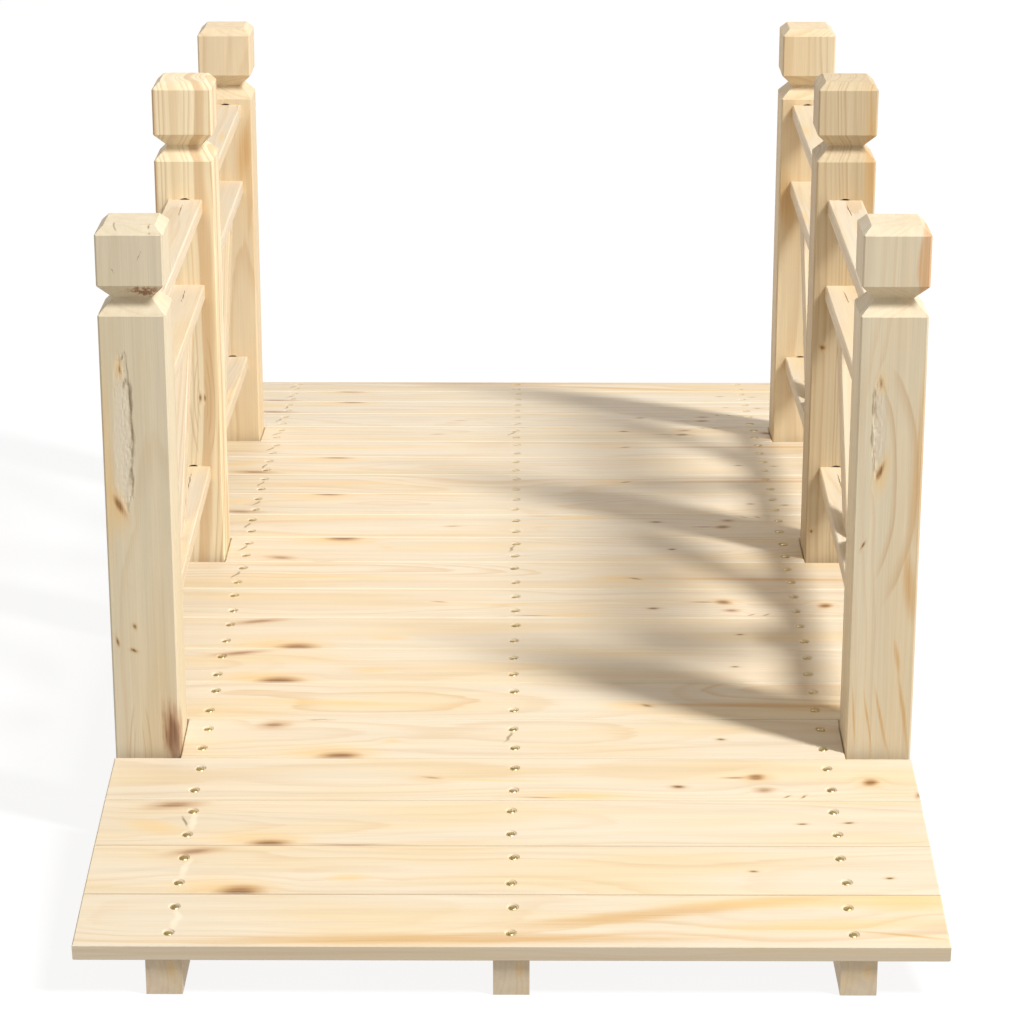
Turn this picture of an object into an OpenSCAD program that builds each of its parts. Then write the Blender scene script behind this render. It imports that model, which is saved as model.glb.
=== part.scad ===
// Wooden garden footbridge: an arched plank deck on three sawn stringers, with a railed side each way.
// Millimetres. +X runs across the walk, +Y along it and +Z up. The origin is on the ground under the middle.

/* [Deck] */
// Length of the deck along the walk
deck_l = 1500; // [1300:10:1800]
// Width of the deck across the walk
deck_w = 670; // [560:5:900]
// Rise of the deck's top from its ends to its middle
deck_rise = 54; // [40:1:70]
// Height of the deck's top above the ground at its two ends
deck_end_z = 44; // [38:1:60]
// Thickness of a plank
plank_t = 14; // [10:0.5:18]
// Gap between two planks at their undersides
plank_gap = 0.6; // [0.2:0.1:3]
// Eased edge of a plank
plank_edge = 1; // [0.4:0.1:2]
// Gap between the end of a short plank and the post beside it
plank_end_gap = 0.5; // [0.4:0.1:3]

/* [Stringers] */
// Width of a stringer across the walk
stringer_w = 28; // [20:1:40]
// Depth of a stringer, square to its arch
stringer_depth = 60; // [44:1:74]
// Setback of a stringer's end from the end of the deck
stringer_setback = 6; // [0:1:20]

/* [Posts] */
// Width of a square post
post_w = 55; // [40:1:60]
// Height of an end post's top above the ground
end_post_h = 533; // [480:1:600]
// Height of a middle post's top above the ground
mid_post_h = 563; // [530:1:650]
// Height of the cap, without its top chamfer
cap_h = 41.5; // [30:0.5:46]
// Chamfer round the top of the cap
cap_chamfer = 7; // [3:0.5:12]
// Height of the V-groove under the cap
groove_h = 25.5; // [16:0.5:30]
// Depth of the V-groove
groove_depth = 12; // [6:0.5:16]
// Eased upright edge of a post
post_edge = 1.5; // [0.5:0.1:4]

/* [Rails] */
// Width of a rail across the walk
rail_w = 32; // [24:1:38]
// Thickness of a rail
rail_t = 14; // [10:0.5:18]
// Drop from the groove of an end post to the upper face of the top rails
top_rail_drop = 6; // [1:1:30]
// Drop from the upper face of the top rails to that of the middle rails
rail_spacing = 82; // [60:1:110]
// Height of the lower rails' upper face above the deck beside the posts
lower_rail_rise = 95; // [70:1:130]
// Eased edge of a rail or a brace
rail_edge = 1; // [0.4:0.1:2]
// Diameter of the bolt hole behind the end of a top or lower rail
bolt_hole_d = 17; // [15:0.5:20]
// Depth of the bolt hole
bolt_hole_depth = 20; // [10:1:24]

/* [Braces] */
// Width of a brace, square to its length
brace_w = 32; // [20:1:40]
// Thickness of a brace
brace_t = 14; // [10:0.5:18]
// Gap between the top of a brace and its post
brace_inset = 8; // [2:1:30]
// Gap between the feet of two braces
brace_foot_gap = 4; // [1:1:30]

/* [Hidden] */
wood = "#f2dfb8";
shaded_wood = "#e6cfa2";

// The deck's planks, and how many of them lie from one post to the next
plank_count = 21;
middle_plank = (plank_count - 1) / 2;
planks_per_bay = 6;

// Hairline between a plank and the sawn arc that it lies on
seat_gap = 0.1;
// Overrun of a cut past the face that it opens
overrun = 1;
// Sides of the wide circles of the arch, and of a bolt hole
arch_sides = 1440;
hole_sides = 48;

// The arch: radii of the deck's top, of the planks' seat and of the stringers' edges, about one centre
deck_r = (pow(deck_l / 2, 2) + pow(deck_rise, 2)) / (2 * deck_rise);
seat_r = deck_r - plank_t;
stringer_r = seat_r - seat_gap;
soffit_r = stringer_r - stringer_depth;
arch_z = deck_end_z + deck_rise - deck_r;
plank_angle = 2 * asin(deck_l / 2 / deck_r) / plank_count;
plank_w = 2 * seat_r * tan(plank_angle / 2) - plank_gap;
function arch_height(radius, y) = arch_z + sqrt(pow(radius, 2) - pow(y, 2));

// The posts' places, and the length of a bay between two posts' faces
post_x = (deck_w - post_w) / 2;
post_y = deck_r * sin(planks_per_bay * plank_angle);
bay_l = post_y - post_w;

// The stringers' places: the outer two lie against the posts' inner faces
stringer_x = post_x - (post_w + stringer_w) / 2;
stringer_l = deck_l - 2 * stringer_setback;

// The rails' upper faces at the middle post and at an end post: the lower rails slope with the deck
top_rail_z = end_post_h - cap_chamfer - cap_h - groove_h - top_rail_drop;
middle_rail_z = top_rail_z - rail_spacing;
lower_mid_z = arch_height(deck_r, 0) + lower_rail_rise;
lower_end_z = arch_height(deck_r, post_y) + lower_rail_rise;
rail_mid_z = [top_rail_z, middle_rail_z, lower_mid_z];
rail_end_z = [top_rail_z, middle_rail_z, lower_end_z];
function rail_z(r, y) = rail_mid_z[r] + (rail_end_z[r] - rail_mid_z[r]) * abs(y) / post_y;

// A brace's reach along the bay, its drop from rail to rail, and the lean that keeps its width true
brace_reach = (bay_l - brace_foot_gap) / 2 - brace_inset;
brace_top_z = middle_rail_z - rail_t;
brace_drop = brace_top_z - rail_z(2, post_y / 2);
lean_root = pow(brace_reach * brace_drop, 2)
    - (pow(brace_drop, 2) - pow(brace_w, 2)) * (pow(brace_reach, 2) - pow(brace_w, 2));
brace_run = (brace_reach * pow(brace_drop, 2) - brace_drop * sqrt(lean_root))
    / (pow(brace_drop, 2) - pow(brace_w, 2));
brace_lean = atan2(brace_run, brace_drop);

// Names of the sides, the posts, the bays, the rails and a bay's two braces, in the order of their places
sides = [-1, 1];
side_names = ["left", "right"];
stations = [-1, 0, 1];
station_names = ["front", "middle", "back"];
bays = [-1, 1];
bay_names = ["front", "back"];
rail_names = ["top", "middle", "lower"];
bolted_rails = [0, 2];
brace_names = ["inner", "outer"];
stringer_names = ["left_stringer", "centre_stringer", "right_stringer"];

function plank_name(i) = str("deck_plank_", i < 9 ? "0" : "", i + 1);
function post_name(s, p) = str(side_names[s], "_", station_names[p], "_post");
function rail_name(s, b, r) = str(side_names[s], "_", bay_names[b], "_", rail_names[r], "_rail");
function brace_name(s, b, k) = str(side_names[s], "_", bay_names[b], "_", brace_names[k], "_brace");

// A rectangle that stands on the 2D x axis, with its four corners eased
module eased_section(width, height, edge) {
    side = width / 2;
    polygon([
        [-side + edge, 0], [side - edge, 0], [side, edge], [side, height - edge],
        [side - edge, height], [-side + edge, height], [-side, height - edge], [-side, edge]
    ]);
}

// Turns a 2D outline of the walk's side view upright: 2D x runs along +Y and 2D y up +Z
module side_view(thick) {
    rotate([90, 0, 90]) linear_extrude(height = thick, center = true) children();
}

// Turns a 2D outline of the walk's end view upright: 2D x runs along +X and 2D y up +Z
module end_view(thick) {
    rotate([90, 0, 0]) linear_extrude(height = thick, center = true) children();
}

// One plank, flat on the tangent of the arch; the planks beside the posts stop between them
module deck_plank(i) {
    turn = i - middle_plank;
    short = turn % planks_per_bay == 0;
    length = short ? deck_w - 2 * (post_w + plank_end_gap) : deck_w;
    color(wood) translate([0, 0, arch_z]) rotate([-turn * plank_angle, 0, 0]) translate([0, 0, seat_r])
        intersection() {
            side_view(length) eased_section(plank_w, plank_t, plank_edge);
            end_view(plank_w) eased_section(length, plank_t, plank_edge);
        }
}

// One stringer, sawn to the arch above and below, with flat feet where its underside meets the ground
module stringer(place) {
    color(shaded_wood) translate([place * stringer_x, 0, 0]) side_view(stringer_w) intersection() {
        translate([0, arch_z]) difference() {
            circle(r = stringer_r, $fn = arch_sides);
            circle(r = soffit_r, $fn = arch_sides);
        }
        translate([-stringer_l / 2, 0]) square([stringer_l, deck_end_z + deck_rise]);
    }
}

// The outline of a post from its foot to its top, the same from the side and from the end
module post_outline(foot, top) {
    side = post_w / 2;
    cap_top = top - cap_chamfer;
    groove_top = cap_top - cap_h;
    right = [
        [side, foot], [side, groove_top - groove_h], [side - groove_depth, groove_top - groove_h / 2],
        [side, groove_top], [side, cap_top], [side - cap_chamfer, top]
    ];
    left = [for (k = [len(right) - 1 : -1 : 0]) [-right[k][0], right[k][1]]];
    polygon(concat(right, left));
}

// A post's plan, with its upright edges eased
module post_plan() {
    translate([0, -post_w / 2]) eased_section(post_w, post_w, post_edge);
}

// One post beside an outer stringer, from the stringer's underside to its cap
module post(side, station) {
    top = station == 0 ? mid_post_h : end_post_h;
    foot = max(0, arch_height(soffit_r, station * post_y));
    color(wood) translate([side * post_x, station * post_y, 0]) difference() {
        intersection() {
            end_view(post_w) post_outline(foot, top);
            side_view(post_w) post_outline(foot, top);
            linear_extrude(height = top) post_plan();
        }
        for (face = bays)
            if (station != face) bolt_holes(station * post_y, face);
    }
}

// The bolt holes in one face of a post, each behind the end of a rail
module bolt_holes(y, face) {
    mouth = face * post_w / 2;
    middle = mouth - face * (bolt_hole_depth - overrun) / 2;
    for (r = bolted_rails)
        translate([0, middle, rail_z(r, y + mouth) - rail_t / 2]) rotate([90, 0, 0])
            cylinder(d = bolt_hole_d, h = bolt_hole_depth + overrun, center = true, $fn = hole_sides);
}

// One rail between the faces of two posts
module rail(side, bay, r) {
    slope = atan((rail_mid_z[r] - rail_end_z[r]) / post_y);
    color(wood) translate([side * post_x, 0, 0]) intersection() {
        translate([0, 0, rail_mid_z[r]]) rotate([-bay * slope, 0, 0])
            end_view(2 * (post_y + post_w)) translate([0, -rail_t]) eased_section(rail_w, rail_t, rail_edge);
        translate([-rail_w / 2, bay * post_y / 2 - bay_l / 2, 0]) cube([rail_w, bay_l, mid_post_h]);
    }
}

// The window of a bay between its two posts, from the lower rail up to the middle one
module bay_window() {
    near = post_w / 2;
    far = near + bay_l;
    polygon([[near, rail_z(2, near)], [far, rail_z(2, far)], [far, brace_top_z], [near, brace_top_z]]);
}

// The slat of the brace beside the middle post, drawn past both rails, with its long edges eased
module brace_slat() {
    head_y = post_w / 2 + brace_inset + (brace_reach - brace_run) / 2;
    translate([0, head_y, brace_top_z]) rotate([brace_lean, 0, 0])
        translate([0, -brace_w / 2, -2 * brace_drop]) linear_extrude(height = 3 * brace_drop)
            eased_section(brace_t, brace_w, rail_edge);
}

// One brace of a bay's V: the first leans from the middle post, the second from the end post
module brace(side, bay, k) {
    color(wood) translate([side * post_x, 0, 0]) mirror([0, bay < 0 ? 1 : 0, 0]) intersection() {
        side_view(brace_t) bay_window();
        translate([0, k * post_y, 0]) mirror([0, k, 0]) brace_slat();
    }
}

for (i = [0 : plank_count - 1])
    deck_plank(i);
for (k = [0 : 2])
    stringer(k - 1);
for (s = [0, 1], p = [0 : 2])
    post(sides[s], stations[p]);
for (s = [0, 1], b = [0, 1], r = [0 : 2])
    rail(sides[s], bays[b], r);
for (s = [0, 1], b = [0, 1], k = [0, 1])
    brace(sides[s], bays[b], k);
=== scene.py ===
"""Looks of the wooden garden bridge: planed spruce with rings, knots and drying checks, and a nailed deck.

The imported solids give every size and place. The planks, rails, braces and front posts are welded copies of
their solids with the nail seats, checks and torn grain cut into them. The other solids are dressed as they
are. Lengths named *_mm are millimetres, and everything in the scene is in metres. Values named *_per_mm say
how often a noise changes along the grain and across it.
"""

import logging
import math
import random
from dataclasses import dataclass, field, replace
from enum import Enum

import bmesh
import bpy
from mathutils import Euler, Matrix, Vector, noise


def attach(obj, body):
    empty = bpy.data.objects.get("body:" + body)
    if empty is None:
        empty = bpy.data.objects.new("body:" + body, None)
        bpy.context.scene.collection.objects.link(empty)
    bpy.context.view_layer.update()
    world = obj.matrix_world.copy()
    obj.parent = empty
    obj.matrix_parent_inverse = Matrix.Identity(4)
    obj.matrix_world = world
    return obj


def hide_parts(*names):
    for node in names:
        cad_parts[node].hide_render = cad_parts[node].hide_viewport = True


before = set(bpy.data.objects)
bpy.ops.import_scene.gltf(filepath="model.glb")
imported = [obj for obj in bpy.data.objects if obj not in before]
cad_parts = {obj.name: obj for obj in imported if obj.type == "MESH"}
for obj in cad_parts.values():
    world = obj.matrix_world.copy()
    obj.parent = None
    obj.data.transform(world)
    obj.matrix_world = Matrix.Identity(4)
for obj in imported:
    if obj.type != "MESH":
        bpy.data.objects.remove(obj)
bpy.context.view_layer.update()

LOG = logging.getLogger("garden_bridge")
MM = 0.001
BODY = "root"
WELD = 1e-6
FLAT_DEG = 0.2

# The node types and settings that come again and again.
MATH = "ShaderNodeMath"
VECTOR = "ShaderNodeVectorMath"
AXES = "ShaderNodeSeparateXYZ"
RANGE = "ShaderNodeMapRange"
NOISE = "ShaderNodeTexNoise"
MIX = "ShaderNodeMix"
RGBA = {"data_type": "RGBA"}
SMOOTH = {"interpolation_type": "SMOOTHSTEP"}
# A noise's mean, and the span that most of its values lie in.
MID_GREY = (0.5, 0.5, 0.5)
NOISE_SPAN = (0.3, 0.7)

Pair = tuple[float, float]
Triple = tuple[float, float, float]
Piece = bpy.types.Object
Material = bpy.types.Material
Tree = bpy.types.NodeTree
Node = bpy.types.Node
Socket = bpy.types.NodeSocket


class Slot(Enum):
    """The record's material slots for the deck, posts, rails and braces."""

    DECK = "deck_planks"
    POSTS = "posts"
    RAILS = "rails"
    BRACES = "braces"


class MarkKind(Enum):
    """What a mark in the wood is."""

    KNOT = "knot"
    SPIKE = "spike knot, sawn along its branch"
    PIN = "pin knot"
    PITCH = "pitch streak"
    HEART = "heartwood band"
    CORE = "heartwood with a clear border"
    BARK = "bark pocket"
    TORN = "torn grain"
    RING = "growth ring bent round a knot"
    SCUFF = "hammer scuff"
    DENT = "pale dent where a nail skidded"
    SLIP = "dark slit where a nail slipped"


K = MarkKind


@dataclass(frozen=True)
class MarkFinish:
    """How one kind of mark colours the wood and bends the rings round it.

    The core lies inside the outline, the heart in the middle of the core, the rim along the outline, and the
    halo outside it. A share is how far each colour covers the wood. Distances are 0 in a mark's middle and 1
    on its outline. The fibres tear a ragged mark's outline, and the grain only sways the others.
    """

    core: str = ""
    halo: str = ""
    core_share: float = 0.0
    halo_share: float = 0.0
    halo_reach: float = 1.0
    soft: float = 0.0
    bulge_mm: float = 0.0
    heart: str = ""
    rim: str = ""
    ragged: bool = False
    halo_from: float = 0.5
    heart_share: float = 0.7
    heart_fade: float = 0.55
    rim_width: float = 0.15
    rim_edge: float = 0.2
    rim_beside: Pair = (0.35, 0.75)
    rim_share: float = 0.45

    def layers(self) -> list[tuple[str, float, float, float]]:
        """Lists the colours from the halo in.

        Returns:
            Each colour's tint, where it is full, where it ends, and its share.
        """
        inner, outer = 1.0 - self.soft, 1.0 + self.soft * 0.5
        heart = inner * 0.5
        return [
            (self.halo, self.halo_from, self.halo_reach, self.halo_share),
            (self.core, inner, outer, self.core_share),
            (self.heart, heart, heart + self.heart_fade, self.heart_share if self.heart else 0.0),
        ]


MARK_FINISHES: dict[MarkKind, MarkFinish] = {
    K.KNOT: MarkFinish("AC7C48", "E2BC82", 0.85, 0.40, 2.4, 0.60, 3.0, heart="744E2C"),
    K.SPIKE: MarkFinish("B8926F", "DDBE92", 0.70, 0.35, 2.0, 0.75, 2.0, heart="9A7353"),
    K.PIN: MarkFinish("94703F", "CFAC78", 0.80, 0.45, 2.4, 0.70, 1.2, heart="644628"),
    K.PITCH: MarkFinish("E9C27C", "ECCE96", 0.40, 0.26, 1.9, 0.90, 1.5),
    K.HEART: MarkFinish("CC9F62", "DCBC86", 0.65, 0.35, 1.7, 0.80),
    K.CORE: MarkFinish("D6A877", core_share=0.90, soft=0.10),
    K.BARK: MarkFinish("9C7052", "C39A72", 0.80, 0.50, 1.5, 0.50, heart="765038", ragged=True),
    K.TORN: MarkFinish("E2DACA", "D8C8A4", 0.40, 0.15, 1.3, 0.40, ragged=True),
    K.RING: MarkFinish(rim="BE9460"),
    K.SCUFF: MarkFinish("7C6848", "C9B28A", 0.65, 0.20, 2.2, 0.70, ragged=True),
    K.DENT: MarkFinish("F4E8D0", "F0E0C2", 0.50, 0.25, 1.6, 0.70),
    K.SLIP: MarkFinish("84714F", "C9B28A", 0.75, 0.15, 1.8, 0.60),
}


def linear(hex_colour: str) -> tuple[float, float, float, float]:
    """Turns an sRGB hex colour into the linear colour that a shader socket takes.

    Args:
        hex_colour: Six hex digits, such as "F2DFB8".

    Returns:
        Red, green, blue and alpha, linear.
    """
    parts = [int(hex_colour[i : i + 2], 16) / 255 for i in (0, 2, 4)]
    red, green, blue = [p / 12.92 if p <= 0.04045 else ((p + 0.055) / 1.055) ** 2.4 for p in parts]
    return red, green, blue, 1.0


def link(piece: Piece) -> Piece:
    """Puts an object into the scene and returns it."""
    bpy.context.scene.collection.objects.link(piece)
    return piece


def welded(mesh: bpy.types.Mesh) -> bmesh.types.BMesh:
    """Copies a mesh with its doubled corners joined and its flat faces whole.

    Args:
        mesh: The mesh.

    Returns:
        The copy, which is freed after use.
    """
    shape = bmesh.new()
    shape.from_mesh(mesh)
    bmesh.ops.remove_doubles(shape, verts=shape.verts, dist=WELD)
    bmesh.ops.dissolve_limit(shape, angle_limit=math.radians(FLAT_DEG), verts=shape.verts, edges=shape.edges)
    return shape


def bake(piece: Piece, modifier: bpy.types.Modifier) -> None:
    """Makes what a modifier gives the piece's own plain mesh, and takes the modifier away.

    Args:
        piece: The piece.
        modifier: Its modifier.
    """
    evaluated = piece.evaluated_get(bpy.context.evaluated_depsgraph_get())
    worked = bpy.data.meshes.new_from_object(evaluated)
    piece.modifiers.remove(modifier)
    old, piece.data = piece.data, worked
    bpy.data.meshes.remove(old)


class Wiring:
    """A node tree while it is being wired."""

    def __init__(self, tree: Tree) -> None:
        """Starts from an empty tree."""
        tree.nodes.clear()
        self.tree = tree

    def add(self, kind: str, *values: object, named: dict | None = None, **settings: object) -> Node:
        """Adds a node with its settings, and links or sets its inputs.

        Args:
            kind: The node's type.
            values: For the inputs in use, in their order: a socket to link, a node whose first output in
                use is linked, or a value to set.
            named: The same for inputs by their names.
            settings: The node's own properties.

        Returns:
            The new node.
        """
        node = self.tree.nodes.new(kind)
        for name, value in settings.items():
            setattr(node, name, value)
        used = [i for i, socket in enumerate(node.inputs) if socket.enabled]
        for key, value in [*zip(used, values), *(named or {}).items()]:
            if isinstance(value, Node):
                value = next(socket for socket in value.outputs if socket.enabled)
            if isinstance(value, Socket):
                self.tree.links.new(value, node.inputs[key])
            else:
                node.inputs[key].default_value = value
        return node

    def group(self, takes: dict[str, str], gives: dict[str, str]) -> bpy.types.bpy_prop_collection:
        """Gives the tree its outer sockets.

        Args:
            takes: The types of the sockets that go in, by name.
            gives: The types of the sockets that come out, by name.

        Returns:
            The sockets that go in.
        """
        for way, sockets in (("INPUT", takes), ("OUTPUT", gives)):
            for name, kind in sockets.items():
                self.tree.interface.new_socket(name, in_out=way, socket_type=f"NodeSocket{kind}")
        return self.add("NodeGroupInput").outputs


def along_grain(w: Wiring, log: Node | Socket, per_mm: Pair, detail: float = 1.0, rough: float = 0.5) -> Node:
    """Wires a pattern that is stretched along the grain.

    Args:
        w: The tree.
        log: The place in the log, in millimetres.
        per_mm: How often the pattern changes along the grain and across it.
        detail: How many times a finer pattern is laid over it.
        rough: How strong the finer ones are.

    Returns:
        The pattern.
    """
    along, across = per_mm
    scaled = w.add(VECTOR, log, (along, across, across), operation="MULTIPLY")
    return w.add(NOISE, scaled, 1.0, detail, rough)


@dataclass(frozen=True)
class Lie:
    """How a piece lies: its middle, its grain, the way across its face, and the face's normal."""

    centre: Vector
    along: Vector
    across: Vector
    face: Vector
    half: Vector

    @classmethod
    def of(cls, piece: Piece, face: Vector, grain: Vector | None = None) -> "Lie":
        """Reads a piece's lie from its mesh.

        Args:
            piece: A piece of timber, or a CAD node.
            face: Roughly the way that its broad face looks.
            grain: The way of the grain, or None where it follows the longest edge.

        Returns:
            The lie, with its half length, half width and half thickness.
        """
        looks_out, lies_flat = 0.9, 0.2
        shape = welded(piece.data)
        points = [v.co.copy() for v in shape.verts]
        edges = [e.verts[1].co - e.verts[0].co for e in shape.edges]
        outer = [f.normal * f.calc_area() for f in shape.faces if f.normal.dot(face) > looks_out]
        shape.free()
        broad = sum(outer, Vector())
        straight = [e for e in edges if abs(e.normalized().dot(face)) < lies_flat]
        along = grain or max(straight, key=lambda e: e.length).normalized()
        if along[max(range(3), key=lambda k: abs(along[k]))] < 0:
            along = -along
        normal = (broad - along * broad.dot(along)).normalized()
        axes = along, normal.cross(along), normal
        low = Vector([min(p.dot(a) for p in points) for a in axes])
        high = Vector([max(p.dot(a) for p in points) for a in axes])
        middle = (low + high) / 2
        centre = sum((a * m for a, m in zip(axes, middle)), Vector())
        return cls(centre, *axes, (high - low) / 2)

    @property
    def turn(self) -> Euler:
        """The turn from the piece's own axes to the scene's."""
        return Matrix((self.along, self.across, self.face)).transposed().to_euler()

    def point(self, along_mm: float, across_mm: float) -> Vector:
        """The scene's point at a place on the piece's broad face."""
        over = self.along * along_mm * MM + self.across * across_mm * MM
        return self.centre + over + self.face * self.half.z


@dataclass(frozen=True)
class Mark:
    """A knot, streak or blemish: an ellipsoid in the piece's own axes, in millimetres from its middle."""

    kind: MarkKind
    at_mm: Pair
    half_mm: Pair
    turn_deg: float = 0.0
    level_mm: float = 0.0
    half_level_mm: float = 400.0


def mark_rows(*rows: tuple) -> tuple[Mark, ...]:
    """Makes marks from rows of numbers.

    Args:
        rows: A kind, a place along and across, half sizes along and across, and, where a mark isn't straight
            or doesn't go right through, its turn, its level and half its depth.

    Returns:
        The marks, in their order.
    """
    return tuple(Mark(kind, (a, b), (c, d), *rest) for kind, a, b, c, d, *rest in rows)


@dataclass
class SpruceTrees:
    """The two node groups that every spruce finish shares, made once.

    A ring's late wood rises and falls over shares of the ring. A tone is what a noise's range turns the
    colour's brightness to.
    """

    drift_per_mm: Pair = (0.0042, 0.014)
    drift_rough: float = 0.4
    fray_per_mm: Pair = (0.02, 0.3)
    fray_mm: float = 1.3
    year_per_mm: float = 0.06
    year_sway: float = 3.0
    seed_stride: float = 7.31
    late_rise: Pair = (0.38, 0.9)
    late_fall: Pair = (0.88, 1.0)
    least_vigour: float = 0.2
    fibre_per_mm: Pair = (0.012, 1.0)
    fibre_range: Pair = (0.28, 0.72)
    fibre_tone: Pair = (0.945, 1.035)
    cloud_per_mm: Pair = (0.0045, 0.03)
    cloud_range: Pair = (0.38, 0.72)
    most_warmth: float = 0.55
    streak_per_mm: Pair = (0.0025, 0.12)
    streak_tone: Pair = (0.955, 1.03)
    rings: Tree = field(init=False)
    mark: Tree = field(init=False)

    def __post_init__(self) -> None:
        """Builds both groups."""
        self.rings = self._rings()
        self.mark = self._mark()

    def _mark(self) -> Tree:
        """Wires the distance from a mark, and how far to its side a point is.

        Returns:
            The group.
        """
        w = Wiring(bpy.data.node_groups.new("wood_mark", "ShaderNodeTree"))
        given = w.group({"Place": "Vector", "Centre": "Vector", "Half": "Vector", "Turn": "Float"},
                        {"Distance": "Float", "Side": "Float"})
        offset = w.add(VECTOR, given["Place"], given["Centre"], operation="SUBTRACT")
        turned = w.add("ShaderNodeVectorRotate", offset, rotation_type="Z_AXIS",
                       named={"Angle": given["Turn"]})
        shares = w.add(VECTOR, turned, given["Half"], operation="DIVIDE")
        length = w.add(VECTOR, shares, operation="LENGTH")
        side = w.add(MATH, w.add(AXES, shares).outputs["Y"], operation="ABSOLUTE")
        w.add("NodeGroupOutput", length, side)
        return w.tree

    def _rings(self) -> Tree:
        """Wires spruce's yearly rings round a wandering pith, its fibres and its broad changes of tone.

        Returns:
            The group.
        """
        w = Wiring(bpy.data.node_groups.new("spruce_growth_rings", "ShaderNodeTree"))
        given = w.group({
            "Place": "Vector", "Log": "Vector", "Seed": "Float", "Ring": "Float", "Pith": "Vector",
            "Lean": "Vector", "Wander": "Float", "Bulge": "Float", "Bands": "Float",
            "Pale": "Color", "Late": "Color", "Warm": "Color",
        }, {"Color": "Color", "Fibre": "Float"})
        place, log, seed = given["Place"], given["Log"], given["Seed"]

        # The pith wanders over a few hundred millimetres, so a sawn face shows the rings as arches.
        drift = along_grain(w, log, self.drift_per_mm, rough=self.drift_rough)
        centred = w.add(VECTOR, drift.outputs["Color"], MID_GREY, operation="SUBTRACT")
        wander = w.add(VECTOR, centred, given["Wander"], operation="SCALE")
        lean = w.add(VECTOR, given["Lean"], w.add(AXES, place).outputs["X"], operation="SCALE")
        pith = w.add(VECTOR, given["Pith"], lean, operation="ADD")
        offset = w.add(VECTOR, place, pith, operation="SUBTRACT")
        moved = w.add(VECTOR, offset, wander, operation="ADD")
        flat = w.add(VECTOR, moved, (0.0, 1.0, 1.0), operation="MULTIPLY")
        radius = w.add(VECTOR, flat, operation="LENGTH")

        # Each ring's edge is a little ragged, and the rings are unevenly wide.
        frayed = along_grain(w, log, self.fray_per_mm)
        fray = w.add(MATH, frayed, self.fray_mm, given["Bulge"], operation="MULTIPLY_ADD")
        bent = w.add(MATH, radius, fray, operation="ADD")
        year = w.add(MATH, bent, self.year_per_mm, seed, operation="MULTIPLY_ADD")
        growth = w.add(NOISE, year, 1.0, 0.0, noise_dimensions="1D")
        share = w.add(MATH, bent, given["Ring"], operation="DIVIDE")
        uneven = w.add(MATH, growth, self.year_sway, share, operation="MULTIPLY_ADD")
        phase = w.add(MATH, uneven, operation="FRACT")
        count = w.add(MATH, uneven, operation="FLOOR")
        rise = w.add(RANGE, phase, *self.late_rise, 0.0, 1.0, **SMOOTH)
        fall = w.add(RANGE, phase, *self.late_fall, 1.0, 0.0, **SMOOTH)
        keyed = w.add(MATH, seed, self.seed_stride, count, operation="MULTIPLY_ADD")
        chance = w.add("ShaderNodeTexWhiteNoise", keyed, noise_dimensions="1D")
        vigour = w.add(RANGE, chance, 0.0, 1.0, self.least_vigour, 1.0)
        late = w.add(MATH, rise, fall, operation="MULTIPLY")
        weighed = w.add(MATH, late, vigour, operation="MULTIPLY")
        band = w.add(MATH, weighed, given["Bands"], operation="MULTIPLY")
        clouds = along_grain(w, log, self.cloud_per_mm)
        warmth = w.add(RANGE, clouds, *self.cloud_range, 0.0, self.most_warmth, **SMOOTH)
        ground = w.add(MIX, warmth, given["Pale"], given["Warm"], **RGBA)
        ringed = w.add(MIX, band, ground, given["Late"], **RGBA)

        # Planed fibres are lines about a millimetre apart and several centimetres long. Streaks about eight
        # millimetres wide run nearly the length of a board.
        fibre = along_grain(w, log, self.fibre_per_mm, 2.0, 0.6)
        shade = w.add(RANGE, fibre, *self.fibre_range, *self.fibre_tone)
        streak = along_grain(w, log, self.streak_per_mm)
        streaked = w.add(RANGE, streak, *NOISE_SPAN, *self.streak_tone)
        both = w.add(MATH, shade, streaked, operation="MULTIPLY")
        wood = w.add(VECTOR, ringed, both, operation="SCALE")
        w.add("NodeGroupOutput", wood, fibre)
        return w.tree


TREES = SpruceTrees()


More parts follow.
